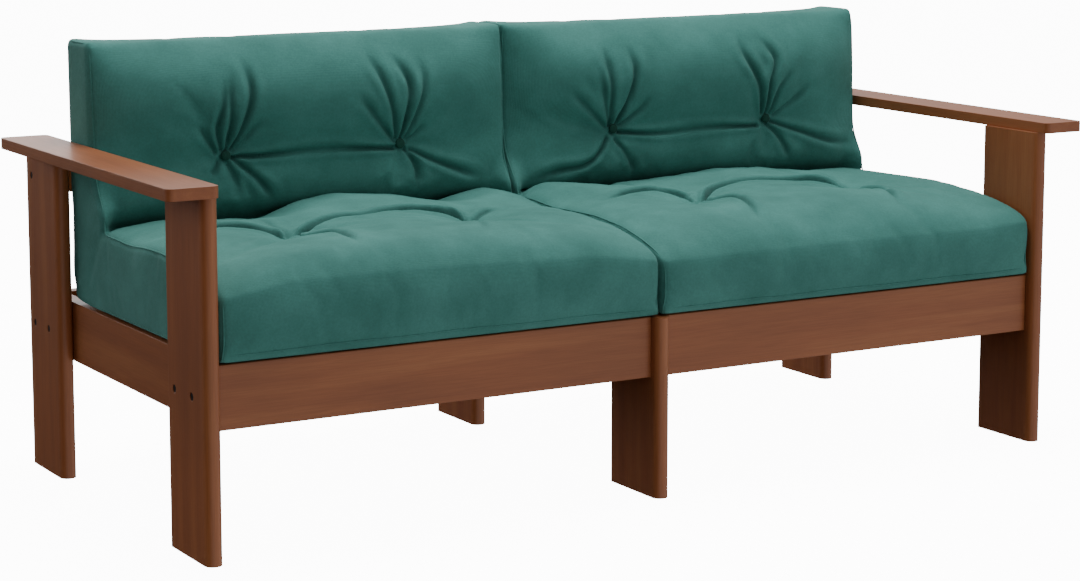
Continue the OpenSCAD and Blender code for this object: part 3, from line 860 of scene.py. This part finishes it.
def sewn_edge(name, points, closed):
    """A seam: the doubled edge of two panels, a soft ridge 3 mm thick that stands half proud."""
    curve = bpy.data.curves.new(name, "CURVE")
    curve.dimensions = "3D"
    curve.bevel_depth = SEAM_RADIUS
    curve.bevel_resolution = 1
    line = curve.splines.new("POLY")
    line.points.add(len(points) - 1)
    for k, p in enumerate(points):
        line.points[k].co = (*p, 1)
    line.use_cyclic_u = closed
    holder = bpy.data.objects.new(name, curve)
    bpy.context.collection.objects.link(holder)
    only(holder)
    bpy.ops.object.convert(target="MESH")
    return bpy.context.active_object


def bend_with(piece):
    """Puts the piece's place into its mesh."""
    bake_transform(piece)


SEAM_STEP = 0.012
FRONT_SEAM_UP, FRONT_SEAM_POINTS = 0.016, 70


def side_route(x):
    """Evenly spaced points round a side panel of the cut."""
    corners = [np.array(c) for c in SIDE_OUTLINE]
    route = []
    for a, b in zip(corners, corners[1:] + corners[:1]):
        count = int(np.linalg.norm(b - a) / SEAM_STEP)
        route += [(x, *(a + (b - a) * k / count)) for k in range(count)]
    return route


def futon(side, sign):
    """One module: cut, crowned, filled, creased and sewn."""
    centre_x = sign * CENTRE_X
    pad = folded_box(f"futon_{side}", centre_x)
    cut = read_points(pad)
    crown(pad, cut, side, centre_x)
    fill(pad, cut, side, centre_x)
    keep_clear(pad, cut, centre_x)
    full = read_points(pad)
    only(pad)
    finer = pad.modifiers.new("finer", "SUBSURF")
    finer.levels = finer.render_levels = 1
    bpy.ops.object.modifier_apply(modifier=finer.name)
    refine(pad, side, centre_x)
    pleat(pad, side, centre_x)
    bpy.ops.object.shade_smooth()
    pad.data.materials.clear()
    pad.data.materials.append(teal_cotton)
    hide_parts(f"futon_seat_{side}", f"futon_back_{side}")
    bend_with(pad)
    # Seams: one round each side panel, and one along the front, low down.
    half = HALF_WIDE - PANEL_INSET
    for word, across in (("inner", -sign), ("outer", sign)):
        route = side_route(centre_x + across * half)
        seam = sewn_edge(f"seam_{side}_{word}", seam_path(cut, full, route), True)
        seam.data.materials.append(teal_cotton)
        bend_with(seam)
    route = [(centre_x + t, FRONT_Y, DECK_Z + FRONT_SEAM_UP)
             for t in np.linspace(-half, half, FRONT_SEAM_POINTS)]
    seam = sewn_edge(f"seam_{side}_front", seam_path(cut, full, route), False)
    seam.data.materials.append(teal_cotton)
    bend_with(seam)
    return pad


futons = {side: futon(side, sign) for side, sign in (("left", -1), ("right", 1))}

# ------------------------------------------------------------------ tufting buttons

BUTTON_RADIUS = 0.0095
BUTTON_THICK = 0.005


def surface_at(pad, x, z, toward):
    """Where a line along Y at this place meets the pad, on the side that faces toward."""
    co = read_points(pad)
    normals = read_normals(pad)
    near = (np.hypot(co[:, 0] - x, co[:, 2] - z) < 0.008) & (normals[:, 1] * toward > 0.2)
    return float(co[near, 1].mean())


# The dome: how far in each step of it is drawn, and how far up.
DOME_STEPS = ((0.0022, 0.0016), (0.0024, 0.0009), (0.0024, 0.0004))
RIM_ROUND = 0.0010


def button(name, place, toward):
    """A covered button: a domed cap with a rolled rim, gathered to a flat underside."""
    bpy.ops.object.select_all(action="DESELECT")
    bpy.ops.mesh.primitive_cylinder_add(
        vertices=28, radius=BUTTON_RADIUS, depth=BUTTON_THICK, location=(0, 0, 0))
    cap = bpy.context.active_object
    cap.name = name
    for part in (*cap.data.vertices, *cap.data.edges):
        part.select = False
    for face in cap.data.polygons:
        face.select = face.normal.z > 0.9
    bpy.ops.object.mode_set(mode="EDIT")
    bpy.ops.mesh.select_mode(type="FACE")
    for step, lift in DOME_STEPS:
        bpy.ops.mesh.inset(thickness=step, depth=lift)
    bpy.ops.object.mode_set(mode="OBJECT")
    rim = cap.modifiers.new("rim", "BEVEL")
    rim.width = RIM_ROUND
    rim.segments = 2
    rim.limit_method = "ANGLE"
    rim.angle_limit = math.radians(40)
    bpy.ops.object.modifier_apply(modifier=rim.name)
    cap.rotation_euler = (math.pi / 2 if toward < 0 else -math.pi / 2, 0, 0)
    cap.location = place
    settle()
    bpy.ops.object.shade_smooth_by_angle(angle=math.radians(50))
    cap.data.materials.append(green_cotton)
    return cap


for side, sign in (("left", -1), ("right", 1)):
    centre_x = sign * CENTRE_X
    words = ("outer", "inner") if side == "left" else ("inner", "outer")
    for across, word in zip(BACK_TUFTS[side], words):
        for toward, face in ((-1, "front"), (1, "rear")):
            x = centre_x + across
            y = surface_at(futons[side], x, BACK_TUFT_Z, toward)
            place = (x, y + toward * BUTTON_THICK / 2, BACK_TUFT_Z)
            cap = button(f"button_{side}_{word}_{face}", place, toward)
            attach(cap, f"futon_back_{side}")
    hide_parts(f"buttons_{side}")

# ------------------------------------------------------------------ floor and light

FLOOR_SIZE = 60
# Bright enough to melt into the backdrop, and seen by the camera alone, so that it lights nothing.
FLOOR_GLOW = 12.0

bpy.ops.object.select_all(action="DESELECT")
bpy.ops.mesh.primitive_plane_add(size=FLOOR_SIZE, location=(0, 0, 0))
floor = bpy.context.active_object
floor.name = "studio_floor"
floor_paint, floor_shader = new_material("studio_floor_matt_white")
floor_shader.inputs["Base Color"].default_value = (0.9, 0.9, 0.9, 1)
floor_shader.inputs["Roughness"].default_value = 1.0
floor_shader.inputs["Specular IOR Level"].default_value = 0.0
floor_shader.inputs["Emission Color"].default_value = (1, 1, 1, 1)
floor_shader.inputs["Emission Strength"].default_value = FLOOR_GLOW
floor.data.materials.append(floor_paint)
floor.visible_diffuse = False
floor.visible_glossy = False
floor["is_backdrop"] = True

world = bpy.data.worlds.new("studio")
bpy.context.scene.world = world
world.use_nodes = True
# A pale studio: soft light from above, what a white floor sends back in front, and a bright wall behind.
way = add(world, "ShaderNodeTexCoord").outputs["Generated"]
height = add(world, "ShaderNodeSeparateXYZ", {0: way}).outputs["Z"]
ahead = add(world, "ShaderNodeVectorMath",
            {"operation": "DOT_PRODUCT", 0: way, 1: (0.5, -0.87, 0)}).outputs["Value"]
behind = add(world, "ShaderNodeVectorMath",
             {"operation": "DOT_PRODUCT", 0: way, 1: (-0.35, 0.94, 0)}).outputs["Value"]
# Each source is the product of its bands: (what is measured, from, to, strength at from, strength at to).
studio_light = (
    ((height, 0.0, 0.5, 0.03, 0.40), (ahead, -1.0, 1.0, 0.45, 1.35)),
    ((height, -0.15, 0.02, 0.95, 0.0), (ahead, 0.0, 0.7, 0.0, 1.0)),
    ((height, -0.02, 0.05, 0.0, 2.4), (height, 0.35, 0.6, 1.0, 0.0), (behind, 0.3, 0.9, 0.0, 1.0)),
)
total = 0.0
for source in studio_light:
    strength = 1.0
    for value, low, high, start, end in source:
        eased = add(world, "ShaderNodeMapRange",
                    {"interpolation_type": "SMOOTHSTEP", "Value": value,
                     "From Min": low, "From Max": high, "To Min": start, "To Max": end})
        strength = add(world, "ShaderNodeMath",
                       {"operation": "MULTIPLY", 0: strength, 1: eased.outputs[0]}).outputs[0]
    total = add(world, "ShaderNodeMath", {"operation": "ADD", 0: total, 1: strength}).outputs[0]
background = world.node_tree.nodes["Background"]
world.node_tree.links.new(total, background.inputs["Strength"])
background.inputs["Color"].default_value = (1.0, 1.0, 1.0, 1)


SEAT_CENTRE = (0, 0, 0.4)


def softbox(name, place, aim, size, power):
    """A square area light that faces a point."""
    lamp = bpy.data.lights.new(name, "AREA")
    lamp.shape = "SQUARE"
    lamp.size = size
    lamp.energy = power
    holder = bpy.data.objects.new(name, lamp)
    holder.location = place
    holder.rotation_euler = (Vector(aim) - Vector(place)).to_track_quat("-Z", "Y").to_euler()
    bpy.context.collection.objects.link(holder)


softbox("overhead_softbox", (0.2, 0.4, 4.2), SEAT_CENTRE, size=2.6, power=170)
softbox("front_softbox", (3.0, -5.0, 0.9), SEAT_CENTRE, size=2.4, power=22)

low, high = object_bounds()
